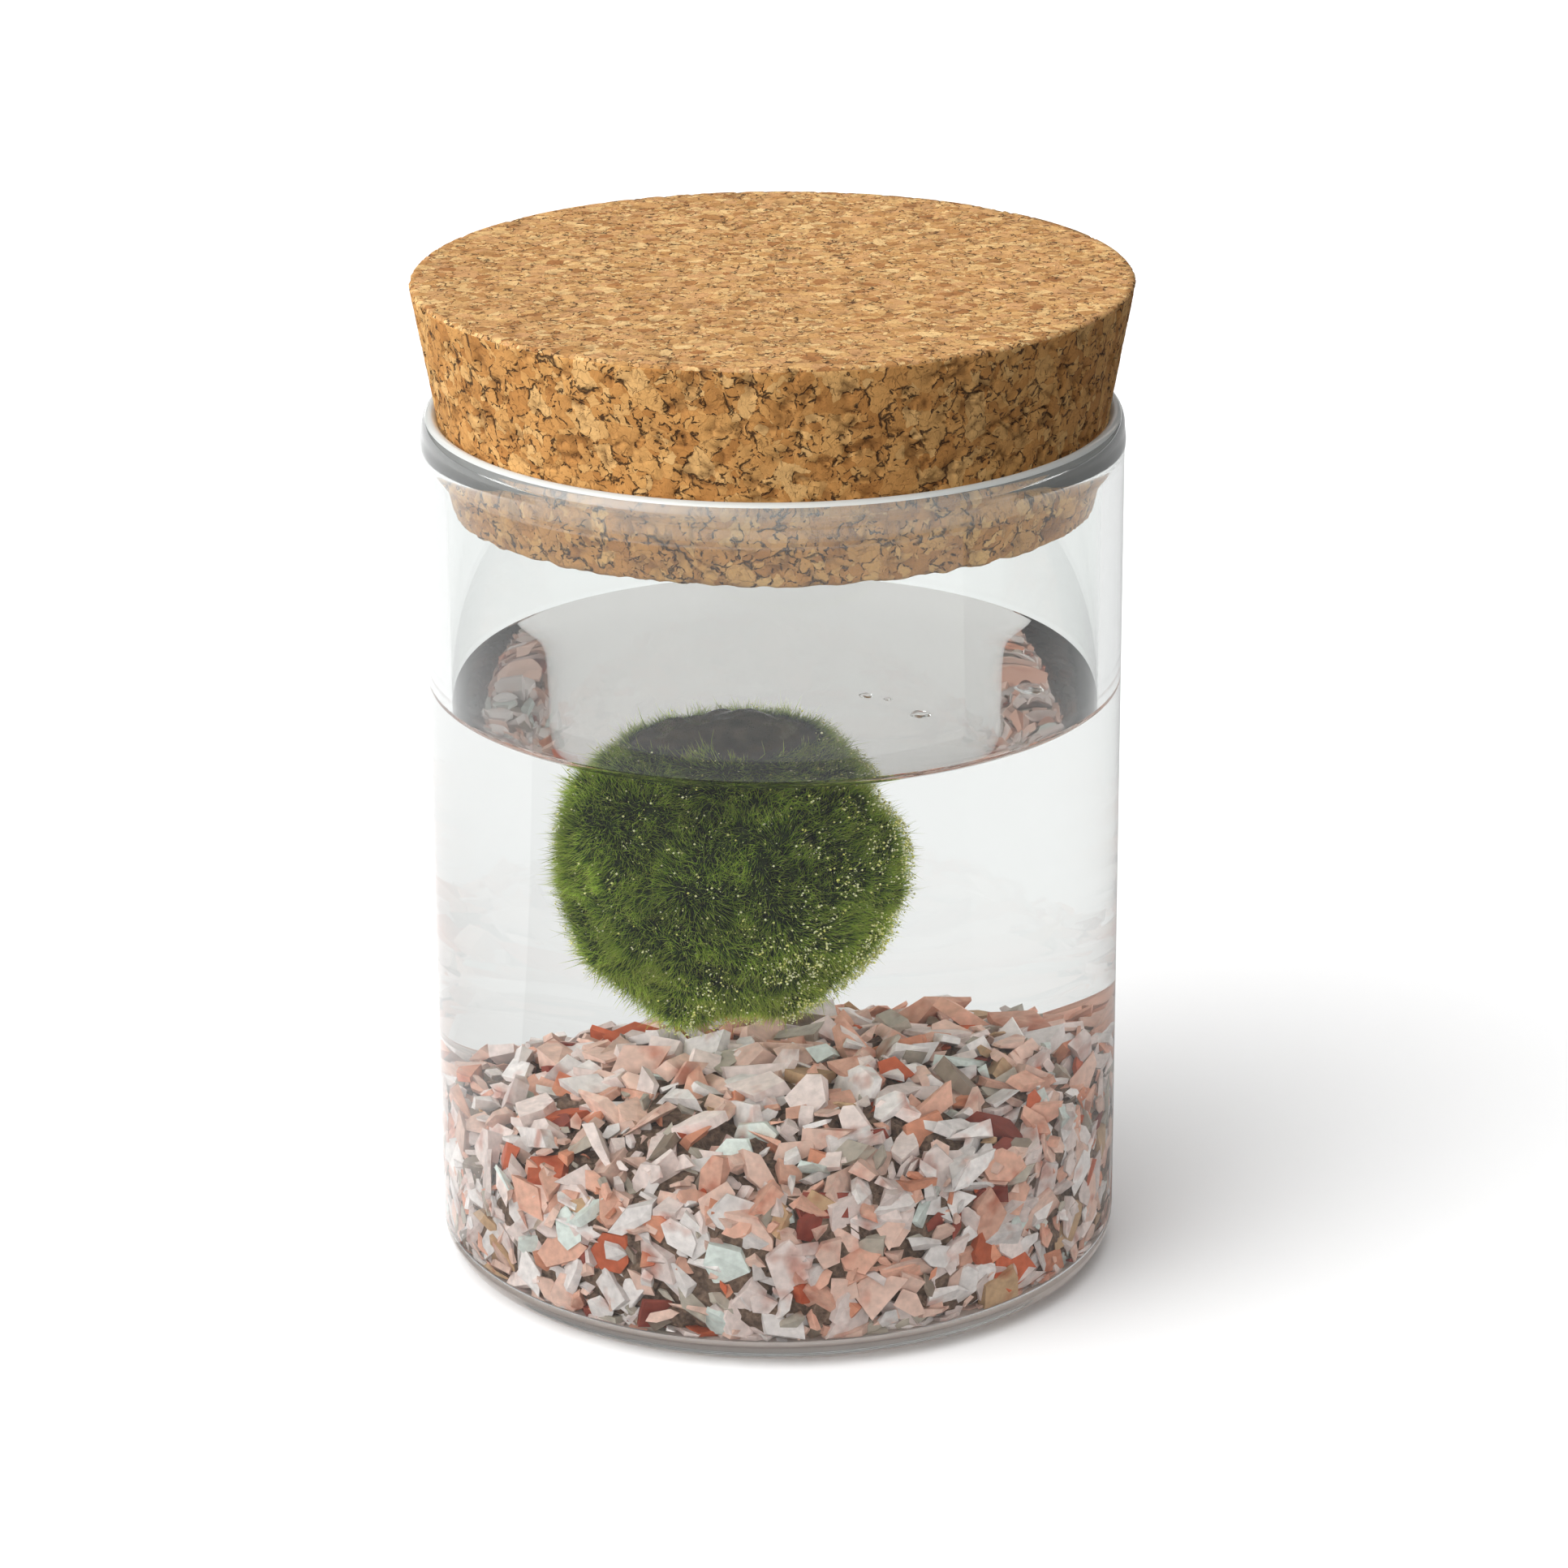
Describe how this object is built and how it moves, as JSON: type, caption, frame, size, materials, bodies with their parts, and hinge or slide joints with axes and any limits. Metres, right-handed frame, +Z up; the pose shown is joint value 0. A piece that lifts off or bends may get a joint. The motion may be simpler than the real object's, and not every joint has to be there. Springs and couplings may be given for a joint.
{
  "type": "marimo moss ball in a corked glass jar",
  "caption": "Lumpy green moss ball afloat in a clear straight-sided jar of water, over a heap of crushed coral, closed by a tapered cork stopper.",
  "frame": {"origin": "centre of the jar's base, on the surface that it stands on", "axes": "+Z up along the jar's axis; -Y is the front, where the moss ball floats close behind the glass"},
  "size_m": [0.082, 0.082, 0.1171],
  "materials": {
    "clear_glass": "clear polished",
    "pressed_cork": "bare pressed cork granules",
    "clear_water": "clear still water",
    "moss": "soft velvety filaments",
    "crushed_coral": "mixed white, pink and coral chips"
  },
  "bodies": {
    "root": {"glass_jar": "clear_glass", "cork_stopper": "pressed_cork", "water": "clear_water", "moss_ball": "moss", "gravel_bed": "crushed_coral"}
  },
  "joints": []
}
